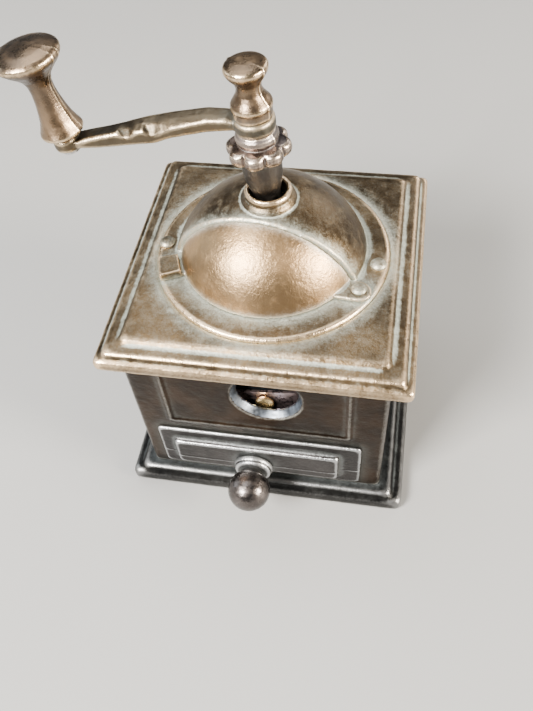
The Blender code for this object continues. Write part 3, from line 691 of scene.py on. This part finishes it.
def drawer_ridge(spots, up):
    """The faint casting line that crosses the drawer front just above its middle."""
    lift = np.exp(-(((spots[:, 2] / MM - DRAWER_RIDGE_Z) / DRAWER_RIDGE_WIDTH) ** 2))
    lift = lift * np.clip(-up[:, 1], 0.0, 1.0)
    return spots + up * (lift * DRAWER_RIDGE_HEIGHT * MM)[:, None]


# ---- Pieces ----
GROW = 0.14
FLANGE_GROW = 0.2

# Name, voxel size, grow, soften, grain, near and material. cast() says what each does.
PIECES = [
    ("base_plinth", 0.34, GROW, 4, (0.035, 1.3), ("body_shell", "drawer_front"), GREY_COPPER),
    (
        "body_shell",
        0.28,
        GROW,
        2,
        (0.03, 1.3),
        ("base_plinth", "top_plate", "drawer_front"),
        BODY_COPPER,
    ),
    ("top_plate", 0.3, GROW, 4, (0.035, 1.5), ("hopper_shell",), COPPER),
    ("hopper_shell", 0.24, FLANGE_GROW, 4, (0.02, 1.4), ("hopper_door",), COPPER),
    ("hopper_door", 0.16, 0.0, 3, (0.022, 0.45), ("hopper_shell",), DOOR_COPPER),
    ("drawer_front", 0.2, 0.0, 12, (0.03, 1.0), ("knob_ferrule",), DRAWER_COPPER),
    ("knob_ferrule", 0.14, 0.13, 3, (0.02, 0.8), ("drawer_front", "drawer_knob"), DRAWER_COPPER),
    ("drawer_knob", 0.18, 0.1, 4, (0.012, 0.9), ("knob_ferrule",), BALL_COPPER),
    ("spindle_sleeve", 0.16, 0.0, 3, (0.03, 0.9), ("rosette_collar",), SLEEVE),
    ("rosette_collar", 0.12, 0.1, 3, (0.02, 0.6), ("crank_arm",), PURPLE_BRONZE),
    ("crank_arm", 0.14, 0.1, 7, (0.03, 0.8), ("rosette_collar", "finial_nut"), ARM_BRONZE),
    ("finial_nut", 0.14, 0.1, 3, (0.015, 0.9), ("crank_arm",), BRONZE),
    ("crank_knob", 0.16, 0.0, 4, (0.02, 1.1), ("crank_arm",), HANDLE_BRONZE),
    ("hopper_rivet_left", 0.1, 0.1, 2, None, ("hopper_shell",), COPPER),
    ("hopper_rivet_right", 0.1, 0.1, 2, None, ("hopper_shell",), COPPER),
    ("door_pivot_rivet", 0.1, 0.0, 2, None, ("hopper_door",), COPPER),
]
SHAPES = {
    "hopper_shell": onto_sphere(DOME_CENTRE, DOME_RADIUS + FLANGE_GROW),
    "hopper_door": onto_sphere(DOOR_CENTRE, DOOR_RADIUS),
    "drawer_front": drawer_ridge,
    "finial_nut": ridges(*SPINDLE, SPINDLE_RIDGES, height=0.16, width=0.16),
    "rosette_collar": ridges(*SPINDLE, SPINDLE_RIDGES, height=0.1, width=0.16),
    "crank_knob": ridges(*HANDLE, HANDLE_RIDGES, height=0.11, width=0.13),
}
PATINA_REACH = 0.8
REACH_OF = {"hopper_door": 0.6, "hopper_shell": 1.0}
HAZE_ROUNDS = 20
HAZE_OF = {"hopper_door": 30, "hopper_shell": 60, "top_plate": 70, "base_plinth": 30}
for name, voxel, grow, soften, grain, near, material in PIECES:
    shape = SHAPES.get(name)
    reach = REACH_OF.get(name, PATINA_REACH)
    haze_rounds = HAZE_OF.get(name, HAZE_ROUNDS)
    piece = cast(name, voxel, grow, soften, grain, near, shape, reach, haze_rounds)
    dress(piece, material)
    if name == "body_shell":
        bare_inside(piece)
    if name == "hopper_door":
        # The door's tab and lug take the darker copper as painted shade.
        painted_shade_outside(piece, DOOR_CENTRE, DOOR_RADIUS + DOOR_PROUD, COPPER)

# The CAD nodes that stay in view, by their metal; the rest are plated steel.
KEPT = {
    "sharpener_block": ZINC,
    "drawer_tray": ZINC,
    "sharpener_blade": BLADE_PAINTED_REFLECTION,
    "blade_screw": BRASS,
}
done = {row[0] for row in PIECES}
for name in nodes:
    if name not in done:
        dress(nodes[name], KEPT.get(name, STEEL))

# ---- Floor, light and camera, in metres ----
FLOOR_SIZE = 6.0
FLOOR_DROP = 0.0002  # keeps the floor off the plinth's underside
FLOOR_BLOTCH = 60.0  # millimetres
bpy.ops.mesh.primitive_plane_add(size=FLOOR_SIZE, location=(0.0, 0.0, -FLOOR_DROP))
floor = bpy.context.object
floor.name = "floor"
ground = Shader("pale_floor")
patches = ground.noise(FLOOR_BLOTCH)
pale = ground.blend(patches, rgb(0.225, 0.225, 0.222), rgb(0.24, 0.24, 0.237))
dress(floor, ground.finish(pale, 0.55, 0.0))

HEART = Vector((0.0, 0.0, 0.045))  # the middle of the mill


def studio_light(name, direction, far, size, power, colour):
    """A square soft box, size metres wide, far metres from the mill and facing it."""
    place = HEART + Vector(direction).normalized() * far
    light = bpy.data.lights.new(name, "AREA")
    light.shape = "RECTANGLE"
    light.size = size
    light.size_y = size
    light.energy = power
    light.color = colour
    lamp = bpy.data.objects.new(name, light)
    scene.collection.objects.link(lamp)
    lamp.location = place
    lamp.rotation_euler = (HEART - place).to_track_quat("-Z", "Y").to_euler()


# Name, direction, distance, size, watts and colour.
studio_light("front_left", (-0.47, -0.62, 0.63), 0.62, 0.21, 23.0, (1.0, 0.96, 0.90))
studio_light("right", (0.90, -0.22, 0.36), 0.62, 0.20, 16.0, (1.0, 0.91, 0.78))
studio_light("ceiling", (-0.30, 0.28, 0.91), 0.75, 0.62, 6.0, (0.97, 0.99, 1.0))
studio_light("left", (-0.93, 0.10, 0.30), 0.70, 0.3, 1.0, (0.9, 0.96, 1.0))
studio_light("behind", (0.55, 0.75, 0.40), 0.75, 0.4, 2.6, (1.0, 0.94, 0.86))

world = bpy.data.worlds.new("studio")
scene.world = world
world.use_nodes = True
backdrop = world.node_tree.nodes["Background"]
backdrop.inputs["Color"].default_value = rgb(0.85, 0.88, 0.9)
backdrop.inputs["Strength"].default_value = 0.2

CAMERA_PLACE = (0.0188990, -0.0850870, 0.1300009)
CAMERA_TURN = (36.31, 3.587, 9.588)  # degrees
lens = bpy.data.cameras.new("camera")
lens.sensor_width = 36.0
lens.lens = 36.90
lens.clip_start = 0.002
camera = bpy.data.objects.new("camera", lens)
scene.collection.objects.link(camera)
camera.location = CAMERA_PLACE
camera.rotation_euler = Euler([math.radians(angle) for angle in CAMERA_TURN])
scene.camera = camera
